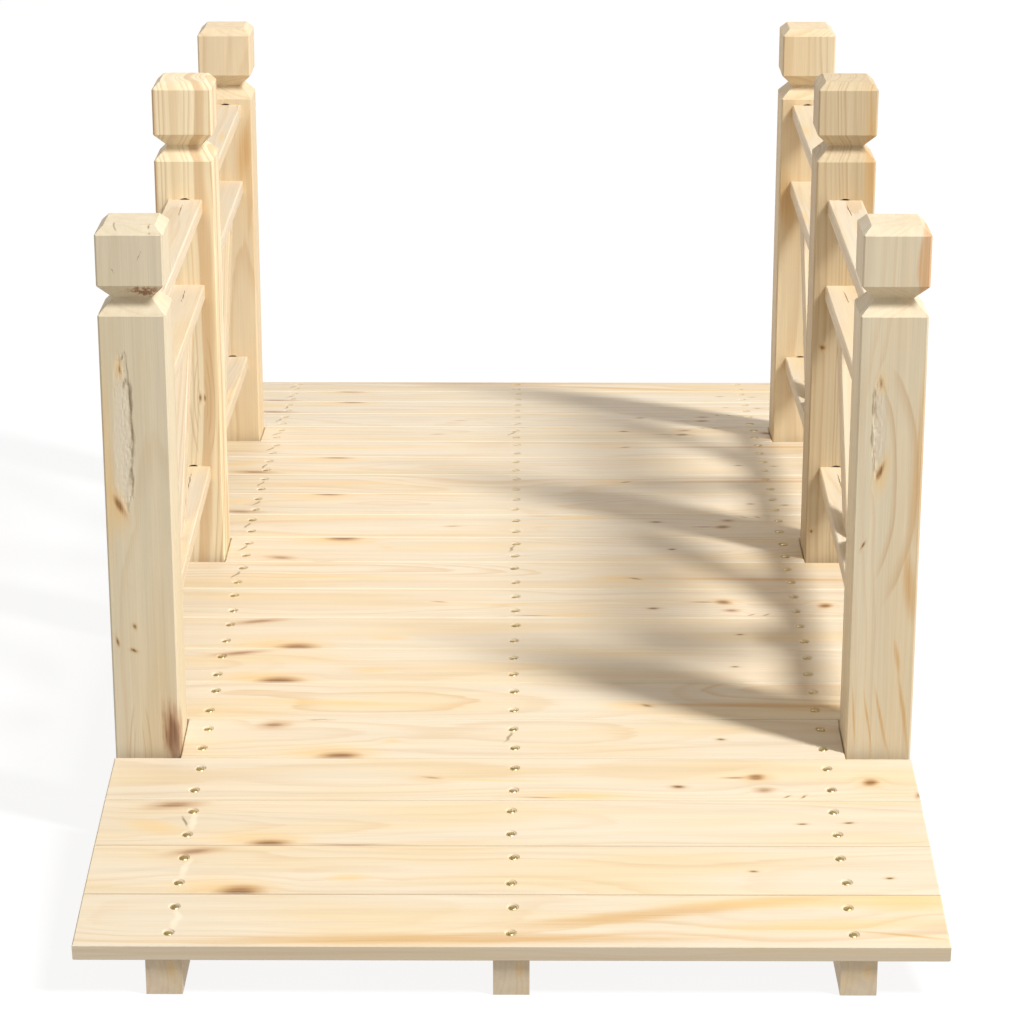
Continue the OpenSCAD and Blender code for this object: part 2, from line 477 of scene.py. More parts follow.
@dataclass(frozen=True)
class Spruce:
    """Untreated planed spruce: how one piece was sawn from the log, and the marks that show on it.

    Spruce is pale cream with straw-coloured late wood. Planed and unfinished, it is matt, with a faint silky
    gloss along the fibres and darker, duller end grain. The fields after the marks are the same for all.
    """

    seed: float
    ring_mm: float = 4.5
    pith_mm: Pair = (6.0, -48.0)
    lean: Pair = (0.0, 0.02)
    wander_mm: float = 22.0
    bands: float = 0.5
    pale: str = "E3D4BB"
    warm: str = "E4CA9A"
    late: str = "CFA870"
    end_share: float = 0.35
    arris_highlight_share: float = 0.0
    seam_shade_share: float = 0.0
    marks: tuple[Mark, ...] = ()
    log_step_mm: float = 2000.0
    torn_per_mm: Pair = (0.06, 0.28)
    torn_reach_mm: Pair = (22.0, 7.0)
    sway_per_mm: Pair = (0.012, 0.06)
    sway_reach_mm: Pair = (12.0, 5.0)
    bulge_reach: Pair = (0.3, 3.2)
    stain_taken: Pair = (1.25, 0.6)
    end_facing: Pair = (0.8, 0.97)
    end_tint: str = "E6D3B4"
    # The arris values paint a highlight along a plank's eased edges. It begins at the first distance in from
    # the edge and is full at the second.
    arris_highlight_mm: Pair = (1.8, 0.7)
    arris_highlight_tint: str = "F4EAD2"
    # The seam values paint shade into a plank's seams. It begins at the first distance in from the edge and
    # is full at the second.
    seam_shade_mm: Pair = (0.7, 0.3)
    seam_shade_tint: str = "94744A"
    # The side values are painted light: where the normal looks across the plank, its long sides are mixed
    # paler to brighten their shading.
    side_light_facing: Pair = (0.8, 0.95)
    side_light_share: float = 0.5
    side_light_tint: str = "F0DDBE"
    roughness: Pair = (0.62, 0.5)
    ior: float = 1.5
    specular: float = 0.35
    relief: float = 0.2
    relief_mm: float = 0.4

    def material(self, name: str, lie: Lie) -> Material:
        """Makes the finish for one piece.

        Args:
            name: The piece's name.
            lie: How the piece lies, which sets the grain.

        Returns:
            The material.
        """
        material = bpy.data.materials.new(f"planed_spruce.{name}")
        material.use_nodes = True
        w = Wiring(material.node_tree)
        here = w.add("ShaderNodeTexCoord").outputs["Object"]
        place = w.add("ShaderNodeMapping", here, lie.centre, lie.turn, (MM, MM, MM), vector_type="TEXTURE")
        # Every piece is its own stretch of one endless log, two metres on from the last.
        log = w.add(VECTOR, place, (self.log_step_mm * self.seed, 0.0, 0.0), operation="ADD")
        # Fibres tear an outline every few millimetres across the grain; the grain sways it over centimetres.
        torn = self._strayed(w, place, log, self.torn_per_mm, self.torn_reach_mm)
        swayed = self._strayed(w, place, log, self.sway_per_mm, self.sway_reach_mm)
        spots: list[tuple[MarkFinish, Node]] = []
        bulge: object = 0.0
        for mark in self.marks:
            finish = MARK_FINISHES[mark.kind]
            spot = w.add("ShaderNodeGroup", node_tree=TREES.mark, named={
                "Place": torn if finish.ragged else swayed, "Centre": (*mark.at_mm, mark.level_mm),
                "Half": (*mark.half_mm, mark.half_level_mm), "Turn": math.radians(-mark.turn_deg),
            })
            spots.append((finish, spot))
            if finish.bulge_mm:
                bump = w.add(RANGE, spot.outputs["Distance"], *self.bulge_reach, finish.bulge_mm, 0.0,
                             interpolation_type="SMOOTHERSTEP")
                bulge = w.add(MATH, bump, bulge, operation="ADD")
        grain = w.add("ShaderNodeGroup", node_tree=TREES.rings, named={
            "Place": place, "Log": log, "Seed": self.seed, "Ring": self.ring_mm, "Pith": (0.0, *self.pith_mm),
            "Lean": (0.0, *self.lean), "Wander": self.wander_mm, "Bulge": bulge, "Bands": self.bands,
            "Pale": linear(self.pale), "Late": linear(self.late), "Warm": linear(self.warm),
        })
        colour, fibre = grain.outputs["Color"], grain.outputs["Fibre"]
        streaky = w.add(RANGE, fibre, *NOISE_SPAN, *self.stain_taken)
        for finish, spot in spots:
            colour = self._stain(w, colour, spot, streaky, finish)
        normal = w.add("ShaderNodeNewGeometry").outputs["Normal"]
        # Planks only: a painted highlight on the arrises, painted shade in the seams and painted light on the
        # long sides.
        if self.arris_highlight_share:
            colour = self._paint_edge_light(w, colour, place, normal, lie)

        # Sawn ends drink in the light: the cut fibres are darker and browner than a planed face.
        facing = w.add(VECTOR, normal, lie.along, operation="DOT_PRODUCT")
        turned = w.add(MATH, facing, operation="ABSOLUTE")
        end = w.add(RANGE, turned, *self.end_facing, 0.0, self.end_share)
        sawn = w.add(MIX, end, colour, linear(self.end_tint), blend_type="MULTIPLY", **RGBA)
        gloss = w.add(RANGE, fibre, *NOISE_SPAN, *self.roughness)
        relief = w.add("ShaderNodeBump", self.relief, self.relief_mm * MM, named={"Height": fibre})
        shader = w.add("ShaderNodeBsdfPrincipled", named={
            "Base Color": sawn, "Roughness": gloss, "IOR": self.ior, "Specular IOR Level": self.specular,
            "Normal": relief,
        })
        w.add("ShaderNodeOutputMaterial", shader)
        return material

    def _strayed(self, w: Wiring, place: Node, log: Node, per_mm: Pair, reach_mm: Pair) -> Node:
        """Wires a place that strays along and across the grain.

        Args:
            w: The material's tree.
            place: The place in the piece's own axes, in millimetres.
            log: The place in the endless log.
            per_mm: How often it strays along the grain and across it.
            reach_mm: How far it strays along the grain and across it.

        Returns:
            The strayed place.
        """
        stray = along_grain(w, log, per_mm, 1.5, 0.6)
        centred = w.add(VECTOR, stray.outputs["Color"], MID_GREY, operation="SUBTRACT")
        along, across = reach_mm
        return w.add(VECTOR, centred, (along, across, across), place, operation="MULTIPLY_ADD")

    def _paint_edge_light(self, w: Wiring, colour: Socket | Node, place: Node, normal: Socket, lie: Lie) -> Node:
        """Wires painted light along a plank's edges: a painted highlight on its eased edges, painted shade in
        its seams, and its long sides painted paler.

        Args:
            w: The material's tree.
            colour: The colour so far.
            place: The place in the piece's own axes, in millimetres.
            normal: The surface's normal.
            lie: How the piece lies.

        Returns:
            The colour with its edges.
        """
        half = lie.half.y / MM
        reach = w.add(MATH, w.add(AXES, place).outputs["Y"], operation="ABSOLUTE")
        facing = w.add(VECTOR, normal, lie.across, operation="DOT_PRODUCT")
        turned = w.add(MATH, facing, operation="ABSOLUTE")
        for value, (begin, full), share, tint in (
            # Painted highlight along the eased edges.
            (reach, [half - edge for edge in self.arris_highlight_mm], self.arris_highlight_share, self.arris_highlight_tint),
            # Painted shade in the seams.
            (reach, [half - edge for edge in self.seam_shade_mm], self.seam_shade_share, self.seam_shade_tint),
            # Painted light: the long sides mixed paler.
            (turned, self.side_light_facing, self.side_light_share, self.side_light_tint),
        ):
            cover = w.add(RANGE, value, begin, full, 0.0, share)
            colour = w.add(MIX, cover, colour, linear(tint), **RGBA)
        return colour

    def _stain(self, w: Wiring, colour: Socket | Node, spot: Node, streaky: Node,
               finish: MarkFinish) -> Socket | Node:
        """Wires a mark's halo, core, heart and rim over the grain's colour.

        Args:
            w: The material's tree.
            colour: The colour so far.
            spot: Where a point lies on the mark.
            streaky: How strongly the fibres take the stain.
            finish: How the mark looks.

        Returns:
            The colour with the mark on it.
        """
        distance = spot.outputs["Distance"]
        for tint, full, none, share in finish.layers():
            if share:
                cover = w.add(RANGE, distance, full, none, share, 0.0, **SMOOTH)
                taken = w.add(MATH, cover, streaky, operation="MULTIPLY", use_clamp=True)
                colour = w.add(MIX, taken, colour, linear(tint), **RGBA)
        if finish.rim:
            # A ring shows beside its knot and fades out above and below it.
            beside = w.add(RANGE, spot.outputs["Side"], *finish.rim_beside, 0.0, finish.rim_share, **SMOOTH)
            soft = w.add(RANGE, distance, 1.0 - finish.rim_width, 1.0, 0.0, 1.0)
            sharp = w.add(RANGE, distance, 1.0, 1.0 + finish.rim_width * finish.rim_edge, 1.0, 0.0)
            rim = w.add(MATH, soft, sharp, operation="MULTIPLY")
            faded = w.add(MATH, rim, beside, operation="MULTIPLY")
            colour = w.add(MIX, faded, colour, linear(finish.rim), **RGBA)
        return colour


@dataclass(frozen=True)
class BrassPlatedSteel:
    """Brass-plated wire nails: a drawn and stamped head with a soft yellow shine, scuffed by the hammer."""

    bright: str = "E8D6A2"
    dull: str = "B09862"
    grit_mm: float = 0.8
    grit_detail: float = 3.0
    roughness: Pair = (0.34, 0.48)
    relief: float = 0.15
    relief_mm: float = 0.2

    def material(self) -> Material:
        """Makes the finish.

        Returns:
            The material.
        """
        material = bpy.data.materials.new("brass_plated_steel")
        material.use_nodes = True
        w = Wiring(material.node_tree)
        here = w.add("ShaderNodeTexCoord").outputs["Object"]
        scuffs = w.add(NOISE, here, 1.0 / (self.grit_mm * MM), self.grit_detail)
        tint = w.add(MIX, scuffs, linear(self.bright), linear(self.dull), **RGBA)
        rough = w.add(RANGE, scuffs, *NOISE_SPAN, *self.roughness)
        relief = w.add("ShaderNodeBump", self.relief, self.relief_mm * MM, named={"Height": scuffs})
        shader = w.add("ShaderNodeBsdfPrincipled", named={
            "Base Color": tint, "Metallic": 1.0, "Roughness": rough, "Normal": relief,
        })
        w.add("ShaderNodeOutputMaterial", shader)
        return material


@dataclass
class Cutter:
    """Closed shapes that are cut out of one piece of timber together.

    A seat's profile gives shares of its radius and of its depth. A lip is how far a shape stands out of the
    face. A torn strip's grid reaches past its outline, and coarse and fine noises fray it.
    """

    seat_profile: tuple[Pair, ...] = ((0.45, -0.97), (0.75, -0.86), (0.86, -0.5), (1.0, 0.0), (1.1, 0.5))
    seat_sides: int = 20
    check_steps: int = 12
    check_fullness: float = 0.6
    check_stray_mm: float = 0.4
    check_lip_mm: float = 0.6
    tip_lip_mm: float = 0.3
    torn_per_mm: Pair = (0.65, 1.3)
    torn_reach: Pair = (1.2, 1.5)
    torn_lip_mm: float = 1.5
    coarse_per_mm: Pair = (0.07, 0.25)
    fine_per_mm: Pair = (0.3, 0.7)
    torn_fray: Pair = (0.6, 0.2)
    shape: bmesh.types.BMesh = field(default_factory=bmesh.new)

    def _skin(self, loops: list[list[bmesh.types.BMVert]]) -> None:
        """Joins each loop of corners to the next with faces.

        Args:
            loops: The loops, each with as many corners.
        """
        for near, far in zip(loops, loops[1:]):
            for i in range(len(near)):
                j = (i + 1) % len(near)
                self.shape.faces.new((near[i], near[j], far[j], far[i]))

    def dimple(self, at: Vector, normal: Vector, radius_mm: float, depth_mm: float) -> None:
        """Adds the round hollow that a driven nail head leaves.

        Args:
            at: The hollow's middle on the face.
            normal: The face's normal.
            radius_mm: The hollow's radius on the face.
            depth_mm: The hollow's depth.
        """
        turn = normal.to_track_quat("Z", "Y")
        rings = []
        for share, level in self.seat_profile:
            ring = []
            for i in range(self.seat_sides):
                angle = math.tau * i / self.seat_sides
                across, up = math.cos(angle) * share * radius_mm, math.sin(angle) * share * radius_mm
                ring.append(self.shape.verts.new(at + turn @ Vector((across, up, level * depth_mm)) * MM))
            rings.append(ring)
        self._skin(rings)
        self.shape.faces.new(rings[0][::-1])
        self.shape.faces.new(rings[-1])

    def check(self, start: Vector, end: Vector, normal: Vector, width_mm: float, depth_mm: float,
              seed: int) -> None:
        """Adds a drying check: a ragged wedge that opens on the face and closes below it.

        Args:
            start: One end on the face.
            end: The other end on the face.
            normal: The face's normal.
            width_mm: Its widest opening.
            depth_mm: Its depth in the middle.
            seed: What sets its raggedness.
        """
        chance = random.Random(seed)
        side = normal.cross(end - start).normalized()
        lip = normal * self.check_lip_mm * MM
        rows = []
        for i in range(1, self.check_steps):
            share = i / self.check_steps
            open_mm = width_mm * (4 * share * (1 - share)) ** self.check_fullness / 2
            stray_mm = chance.uniform(-self.check_stray_mm, self.check_stray_mm)
            middle = start.lerp(end, share) + side * stray_mm * MM
            rows.append([
                self.shape.verts.new(middle + side * open_mm * MM + lip),
                self.shape.verts.new(middle - side * open_mm * MM + lip),
                self.shape.verts.new(middle - normal * depth_mm * (1 - (2 * share - 1) ** 2) * MM),
            ])
        tips = [self.shape.verts.new(p + normal * self.tip_lip_mm * MM) for p in (start, end)]
        self._skin(rows)
        for tip, row, way in ((tips[0], rows[0], -1), (tips[1], rows[-1], 1)):
            for i in range(3):
                self.shape.faces.new((row[i], row[(i + 1) % 3], tip)[::way])

    def torn(self, lie: Lie, mark: Mark, depth_mm: float, deep_side: int, seed: float) -> None:
        """Adds a strip of grain torn out of the face that looks against the piece's normal.

        Args:
            lie: The piece's lie.
            mark: The strip's place and size.
            depth_mm: Its greatest depth.
            deep_side: The border where it is deepest: 1 towards the piece's across axis, -1 away from it.
            seed: What sets its raggedness.
        """
        (reach_a, reach_b), (half_a, half_b) = self.torn_reach, mark.half_mm
        rows, columns = [int(2 * half * per_mm) for half, per_mm in zip(mark.half_mm, self.torn_per_mm)]
        outer, inner = [], []
        for r in range(rows + 1):
            outer.append([])
            inner.append([])
            for c in range(columns + 1):
                a, b = 2 * reach_a * r / rows - reach_a, 2 * reach_b * c / columns - reach_b
                along, across = mark.at_mm[0] + a * half_a, mark.at_mm[1] + b * half_b
                coarse, fine = [
                    noise.noise(Vector((along * per_a, across * per_b, seed + step)))
                    for (per_a, per_b), step in ((self.coarse_per_mm, 0), (self.fine_per_mm, 5))
                ]
                # The outline is a rounded box that the noises fray, and the hollow slopes to its deep side.
                edge = 1.0 - abs(a) ** 3 - abs(b) ** 2.5
                edge += self.torn_fray[0] * coarse + self.torn_fray[1] * fine
                slope = 0.55 + 0.45 * max(-1.0, min(1.0, deep_side * b))
                depth = depth_mm * min(1.0, max(-0.4, 2.5 * edge)) * slope * (0.8 + 0.5 * fine)
                base = lie.centre + lie.along * along * MM + lie.across * across * MM - lie.face * lie.half.z
                outer[-1].append(self.shape.verts.new(base - lie.face * self.torn_lip_mm * MM))
                inner[-1].append(self.shape.verts.new(base + lie.face * depth * MM))
        for r in range(rows):
            for c in range(columns):
                for grid in (outer, inner):
                    self.shape.faces.new((grid[r][c], grid[r][c + 1], grid[r + 1][c + 1], grid[r + 1][c]))
        border = ([(0, c) for c in range(columns)] + [(r, columns) for r in range(rows)]
                  + [(rows, c) for c in range(columns, 0, -1)] + [(r, 0) for r in range(rows, 0, -1)])
        self._skin([[grid[r][c] for r, c in border] for grid in (outer, inner)])

    def cut(self, piece: Piece) -> None:
        """Cuts the shapes out of a piece.

        Args:
            piece: The piece of timber.
        """
        bmesh.ops.recalc_face_normals(self.shape, faces=self.shape.faces)
        mesh = bpy.data.meshes.new("cutter")
        self.shape.to_mesh(mesh)
        self.shape.free()
        tool = link(bpy.data.objects.new("cutter", mesh))
        modifier = piece.modifiers.new("cut", "BOOLEAN")
        modifier.operation, modifier.solver, modifier.object = "DIFFERENCE", "EXACT", tool
        bake(piece, modifier)
        bpy.data.objects.remove(tool)
        bpy.data.meshes.remove(mesh)


def timber(node: str, name: str) -> Piece:
    """Makes a piece of timber from a CAD node: a welded copy of its mesh that can be cut.

    Args:
        node: The CAD node.
        name: The new piece's name.

    Returns:
        The piece, in the scene.
    """
    shape = welded(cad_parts[node].data)
    mesh = bpy.data.meshes.new(name)
    shape.to_mesh(mesh)
    shape.free()
    return link(bpy.data.objects.new(name, mesh))


def coat(piece: Piece, material: Material) -> None:
    """Gives a piece or a CAD node its one material.

    Args:
        piece: The piece or the node.
        material: Its finish.
    """
    piece.data.materials.clear()
    piece.data.materials.append(material)
    LOG.info("%s: %d faces of %s", piece.name, len(piece.data.polygons), material.name)


def settle(piece: Piece, material: Material, node: str) -> None:
    """Gives a finished piece its material and its body, and hides the CAD node that it stands for.

    Args:
        piece: The finished piece.
        material: Its finish.
        node: The CAD node that it stands for.
    """
    coat(piece, material)
    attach(piece, BODY)
    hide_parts(node)


class BoardCut(Enum):
    """The boards that the deck's planks were cut from."""

    EDGE = "golden edge"
    SPIKED = "spike knots at the left"
    STREAKED = "streaks and pin knots"
    CLUSTERED = "a cluster of knots at the right"
    BUTT = "streak near the middle"
    WAVED = "waved bands"


B = BoardCut
BOARD_MARKS: dict[BoardCut, tuple[Mark, ...]] = {
    B.EDGE: mark_rows(
        (K.HEART, -40, -26, 190, 7, 0.6), (K.HEART, 125, 12, 125, 8, 10), (K.PITCH, 230, 26, 110, 9, 2),
        (K.PITCH, 312, 25, 40, 14), (K.HEART, 298, -20, 34, 1.6, -10), (K.PITCH, 250, -6, 90, 8, 3),
        (K.HEART, -190, -36, 160, 3, 0, 0.5, 1.3), (K.HEART, 70, -36, 110, 3, 0, -3.5, 1.2),
        (K.PITCH, 230, -36, 120, 3, 0, 2, 3),
    ),
    B.SPIKED: mark_rows(
        (K.PITCH, -232, -26, 36, 12), (K.KNOT, -212, -34, 21, 10.5, 4), (K.SPIKE, -252, 26, 26, 5.5, 12),
        (K.PIN, 190, -2, 4, 1.6), (K.PIN, 297, -12, 3.5, 1.8), (K.PITCH, -130, -12, 16, 5),
    ),
    B.STREAKED: mark_rows(
        (K.PITCH, -208, -25, 42, 11), (K.KNOT, -194, -35, 19, 8.5, 3), (K.SPIKE, -277, 27, 25, 7, 7),
        (K.SPIKE, -130, -34.5, 46, 1.0), (K.PIN, 237, -2, 4.5, 1.6), (K.PIN, 274, 1, 4.5, 1.5),
        (K.PITCH, -290, -8, 24, 10, -20),
    ),
    B.CLUSTERED: mark_rows(
        (K.SPIKE, -66, 2, 9, 2, -8), (K.PITCH, -20, -2, 60, 2, -3), (K.KNOT, 203, 3, 9, 5.5),
        (K.SPIKE, 184, 3, 14, 1.8), (K.SPIKE, 207, -18, 9, 5), (K.PIN, 137, -13, 6, 2.6),
        (K.KNOT, 295, -5, 8, 7), (K.SPIKE, 333, -27, 3, 6), (K.SPIKE, 24, -31, 20, 1.1),
        (K.PITCH, 60, -28, 30, 5), (K.PIN, 225, -29, 4, 1, 35), (K.PIN, 239, -29, 4, 1, 40),
    ),
    B.BUTT: mark_rows(
        (K.PITCH, -158, -26, 40, 12), (K.KNOT, -147, -34, 20, 9.5, 5), (K.SPIKE, -204, 24, 15, 7, 4),
        (K.PIN, 176, -1, 4, 2.2), (K.PITCH, -103, -5, 7, 4), (K.SCUFF, -163, 34, 12, 0.8),
    ),
    B.WAVED: mark_rows(
        (K.PITCH, 100, -8, 24, 8), (K.PIN, 115, -9, 6, 1.8, -18), (K.HEART, 240, -10, 120, 4, -1.0),
        (K.PITCH, -170, -4, 90, 5, -3),
    ),
}

# On the front posts, the long scuffs just inside each torn strip, by its deepest border, draw a dark line
# along that border.
POST_FINISHES: dict[str, Spruce] = {
    "left_front_post": Spruce(
        31, 5.5, (14.0, 34.0), (0.03, 0.02), 20.0, 0.26, "DFD2B6", "DCCBA8", "C4A26C", 0.15,
        marks=mark_rows(
            (K.TORN, 90, -10.5, 69, 8, 0, -27, 10), (K.PITCH, 146, -12, 9, 3.6, 0, -27, 8),
            (K.SPIKE, 146, -11, 4.5, 1.2, 0, -27, 8), (K.SCUFF, 155, -8, 3, 1.8, 10, -27, 6),
            (K.SCUFF, 134, -8, 2.5, 2, 30, -27, 6), (K.SCUFF, 121, -3.4, 19, 1.8, -2, -27, 6),
            (K.SCUFF, 88, -2.6, 16, 1.9, 1.5, -27, 6), (K.SCUFF, 54, -5, 13, 1.6, -2, -27, 6),
            (K.PITCH, 24, -17, 20, 7, -10, -27, 8), (K.KNOT, 29, -15.5, 11, 3.2, -28, -27, 8),
            (K.PITCH, 60, -24, 70, 4, 0, -27, 14), (K.BARK, -175, 22, 29, 9, -5, -24, 18),
            (K.PIN, -79, -7, 2.4, 1.4, 0, -27, 6), (K.PIN, -92, -21, 5, 1.2, -12, -27, 6),
            (K.PIN, -100, -9, 1.5, 2.6, 0, -27, 6), (K.BARK, 210, 11, 4.5, 13, 0, -22, 8),
            (K.SLIP, 262, -11, 0.9, 3.2, 40, -18, 8), (K.SLIP, 263, 16, 1.5, 1.1, 0, -20, 8),
            (K.SLIP, 258, 17, 1.2, 1.0, 0, -22, 8), (K.SCUFF, 240, 8, 2.5, 0.7, 40, -27, 6),
            (K.SCUFF, 228, -14, 2, 0.7, -25, -27, 6), (K.RING, -201, -6, 60, 9, 0, -27, 40),
            (K.RING, -215, -7, 56, 5, 0, -27, 40),
        ),
    ),
    "right_front_post": Spruce(
        32, 7.5, (-40.0, 30.0), (0.012, 0.0), 22.0, 0.22, "DFD2B6", "DDC9A4", "C69C68", 0.15,
        marks=mark_rows(
            (K.RING, 48, -20, 93, 27, 0, -27, 99), (K.RING, 45, -20, 112, 44, 0, -27, 150),
            (K.HEART, 72, 31, 80, 11, 3, -26, 40), (K.CORE, 232, 40, 50, 24, 0, -24, 60),
            (K.TORN, 98, -9, 44, 5.5, 0, -27, 10), (K.PITCH, 134, -8, 9, 3.5, 0, -27, 8),
            (K.SPIKE, 134, -9, 5, 1.2, 0, -27, 8), (K.SCUFF, 118, -14.4, 14, 1.7, 1, -27, 6),
            (K.SCUFF, 88, -14.2, 13, 1.7, -1.5, -27, 6), (K.SCUFF, 66, -12.6, 8, 1.5, -8, -27, 6),
            (K.PITCH, 55, -5, 17, 5, 12, -27, 8), (K.KNOT, 58.5, -6.7, 9, 2.0, 20, -27, 8),
            (K.HEART, -42, 21, 28, 5, -5, -27, 14), (K.PIN, -6, -19, 4, 1.0, 25, -27, 6),
            (K.HEART, -103, 13, 14, 2.2, -9, -27, 14), (K.HEART, -154, 20, 38, 1.6, -8, -27, 14),
            (K.HEART, -162, 2, 30, 1.2, -11, -27, 14), (K.HEART, -162, -9, 28, 0.9, -8, -27, 14),
            (K.HEART, -158, -21, 26, 0.9, -5, -27, 14),
        ),
    ),
    "left_middle_post": Spruce(
        33, 7.0, (58.0, 8.0), (0.02, 0.0), 18.0, 0.75, "F4E4C2", "F0D8AC", "C89C64", 0.15,
        marks=mark_rows(
            (K.PIN, -34, 8, 4, 1.4, 0, -27, 10), (K.PIN, -34, 13, 4, 1.3, 0, -27, 10),
            (K.RING, -34, 10.5, 24, 5.5, 0, -27, 60), (K.RING, -32, 10.5, 42, 8.5, 0, -27, 80),
            (K.RING, -30, 10.5, 66, 12, 0, -27, 99),
        ),
    ),
    "right_middle_post": Spruce(
        34, 3.6, (-64.0, 10.0), (-0.012, 0.0), 10.0, 0.55, "D0BD9A", "CCB38B", "AE8454", 0.15,
        marks=mark_rows(
            (K.PIN, 18, -17, 3, 2.8, 0, -27, 20), (K.PIN, -164, -22, 2, 1.8, 0, -27, 20),
            (K.HEART, 200, 22, 60, 5, 0, -26, 30),
        ),
    ),
    "left_back_post": Spruce(
        35, 5.0, (22.0, 46.0), (0.02, 0.01), 20.0, 0.42, "E6D2AF", "E2C89C", "C79C64", 0.15,
        marks=mark_rows(
            (K.HEART, 130, 18, 34, 8, 4, -26, 24), (K.PIN, 96, 2, 4, 2, 0, -27, 14),
        ),
    ),
    "right_back_post": Spruce(
        36, 4.2, (-30.0, 40.0), (-0.01, 0.01), 18.0, 0.42, "E2CFAC", "DFC69C", "C4985F", 0.15,
        marks=mark_rows(
            (K.HEART, 80, -19, 36, 8, -4, -26, 24),
        ),
    ),
}


@dataclass(frozen=True)
class Plank:
    """One plank: the board that it was cut from, how far that is shifted, and whether it is mirrored."""

    cut: BoardCut
    shift_mm: float = 0.0
    flipped: bool = False

    def marks(self, half_length_mm: float) -> tuple[Mark, ...]:
        """Lists the board's marks where they fall on this plank.

        Args:
            half_length_mm: Half the plank's length.

        Returns:
            The marks that lie on it.
        """
        sign = -1 if self.flipped else 1
        placed = [
            replace(m, at_mm=(m.at_mm[0] + self.shift_mm, sign * m.at_mm[1]), turn_deg=sign * m.turn_deg)
            for m in BOARD_MARKS[self.cut]
        ]
        return tuple(m for m in placed if abs(m.at_mm[0]) < half_length_mm + m.half_mm[0])


@dataclass
class Nails:
    """The brass-plated nails: each is driven just below the face, into the hollow that its head leaves."""

    seat_radius_mm: float = 5.0
    seat_depth_mm: float = 1.4
    head_radius_mm: float = 3.5
    head_rise_mm: float = 0.7
    head_thick_mm: float = 0.9
    head_sides: int = 14
    head_rings: int = 2
    tilt_deg: float = 7.0
    tilt_seed: int = 5
    seats: list[tuple[Vector, Vector]] = field(default_factory=list)

    def seat(self, cutter: Cutter, at: Vector, normal: Vector) -> None:
        """Cuts the seat of one nail and notes where the nail goes.

        Args:
            cutter: What cuts the piece.
            at: The nail's place on the face.
            normal: The face's normal.
        """
        cutter.dimple(at, normal, self.seat_radius_mm, self.seat_depth_mm)
        self.seats.append((at - normal * self.seat_depth_mm * MM, normal))

    def build(self) -> None:
        """Sets a nail in each seat, as one mesh for the whole bridge."""
        mesh = bpy.data.meshes.new("nails")
        mesh.from_pydata([at for at, _ in self.seats], [], [])
        normals = mesh.attributes.new("seat_normal", "FLOAT_VECTOR", "POINT")
        normals.data.foreach_set("vector", [x for _, normal in self.seats for x in normal])
        piece = link(bpy.data.objects.new("nails", mesh))
        tree = self._tree()
        modifier = piece.modifiers.new("nails", "NODES")
        modifier.node_group = tree
        sizes = {
            "Head radius": self.head_radius_mm * MM, "Head rise": self.head_rise_mm * MM,
            "Head thickness": self.head_thick_mm * MM, "Tilt": math.radians(self.tilt_deg),
            "Seed": self.tilt_seed, "Finish": BrassPlatedSteel().material(),
        }
        for item in tree.interface.items_tree:
            if item.in_out == "INPUT" and item.name in sizes:
                modifier[item.identifier] = sizes[item.name]
        bake(piece, modifier)
        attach(piece, BODY)
        LOG.info("%s: %d nails, %d faces", piece.name, len(self.seats), len(piece.data.polygons))

    def _tree(self) -> Tree:
        """Wires the nail heads: a low dome on a thick stamped disc, tipped a little as a hammer leaves it.

        Returns:
            The group.
        """
        w = Wiring(bpy.data.node_groups.new("driven_nails", "GeometryNodeTree"))
        given = w.group({
            "Geometry": "Geometry", "Head radius": "Float", "Head rise": "Float", "Head thickness": "Float",
            "Tilt": "Float", "Seed": "Int", "Finish": "Material",
        }, {"Nails": "Geometry"})
        radius, tilt = given["Head radius"], given["Tilt"]
        disc = w.add("GeometryNodeMeshCylinder", self.head_sides, 1, self.head_rings, radius,
                     given["Head thickness"], fill_type="TRIANGLE_FAN")
        where = w.add("GeometryNodeInputPosition")
        flat = w.add(VECTOR, where, (1.0, 1.0, 0.0), operation="MULTIPLY")
        reach = w.add(VECTOR, flat, operation="LENGTH")
        share = w.add(MATH, reach, radius, operation="DIVIDE")
        square = w.add(MATH, share, 2.0, operation="POWER")
        crown = w.add(MATH, 1.0, square, operation="SUBTRACT")
        rise = w.add(MATH, crown, given["Head rise"], operation="MULTIPLY")
        lift = w.add("ShaderNodeCombineXYZ", named={"Z": rise})
        height = w.add(AXES, where).outputs["Z"]
        upper = w.add("FunctionNodeCompare", height, 0.0, data_type="FLOAT", operation="GREATER_THAN")
        domed = w.add("GeometryNodeSetPosition", disc, upper, named={"Offset": lift})
        smooth = w.add("GeometryNodeSetShadeSmooth", domed, named={"Shade Smooth": True})
        normal = w.add("GeometryNodeInputNamedAttribute", "seat_normal", data_type="FLOAT_VECTOR")
        least = w.add(MATH, tilt, -1.0, operation="MULTIPLY")
        low = w.add("ShaderNodeCombineXYZ", least, least)
        high = w.add("ShaderNodeCombineXYZ", tilt, tilt)
        tip = w.add("FunctionNodeRandomValue", low, high, named={"Seed": given["Seed"]},
                    data_type="FLOAT_VECTOR")
        upright = w.add("FunctionNodeAlignRotationToVector", named={"Vector": normal}, axis="Z")
        tipped = w.add("FunctionNodeRotateRotation", upright, tip, rotation_space="LOCAL")
        placed = w.add("GeometryNodeInstanceOnPoints", given["Geometry"],
                       named={"Instance": smooth, "Rotation": tipped})
        real = w.add("GeometryNodeRealizeInstances", placed)
        dressed = w.add("GeometryNodeSetMaterial", real, named={"Material": given["Finish"]})
        w.add("NodeGroupOutput", dressed)
        return w.tree


